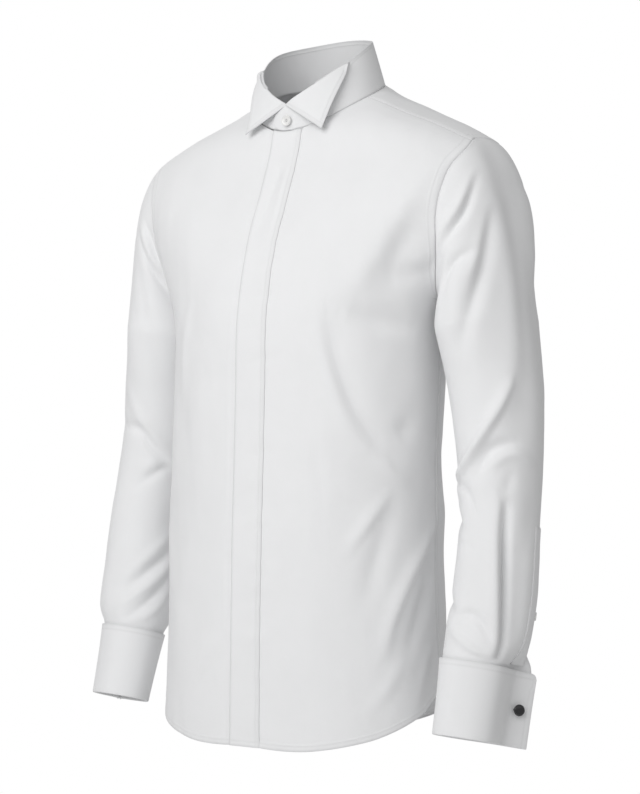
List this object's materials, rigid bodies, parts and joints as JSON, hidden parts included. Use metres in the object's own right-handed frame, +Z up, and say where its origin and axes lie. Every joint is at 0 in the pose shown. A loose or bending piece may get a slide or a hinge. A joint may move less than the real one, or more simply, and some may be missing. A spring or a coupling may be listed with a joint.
{
  "type": "dress shirt",
  "caption": "Long sleeve dress shirt, filled out as if worn: wing collar, covered button front, back yoke, curved hem and French cuffs closed by round cufflinks.",
  "frame": {"origin": "middle of the neck opening, level with the shoulder ends of the collar seam", "axes": "+Z up, the front of the shirt faces -Y, +X is the wearer's left"},
  "size_m": [0.5569, 0.2621, 0.7888],
  "materials": {
    "white_cotton": "fine twill weave, matt",
    "white_button": "smooth, semi-gloss",
    "black_enamel": "polished enamel"
  },
  "bodies": {
    "root": {"left_front": "white_cotton", "fly_placket": "white_cotton", "right_front": "white_cotton", "back": "white_cotton", "yoke": "white_cotton", "collar": "white_cotton", "left_sleeve": "white_cotton", "right_sleeve": "white_cotton", "left_sleeve_placket": "white_cotton", "right_sleeve_placket": "white_cotton", "left_cuff": "white_cotton", "right_cuff": "white_cotton", "collar_button": "white_button", "left_sleeve_button": "white_button", "right_sleeve_button": "white_button", "left_cufflink": "black_enamel", "right_cufflink": "black_enamel"}
  },
  "joints": []
}
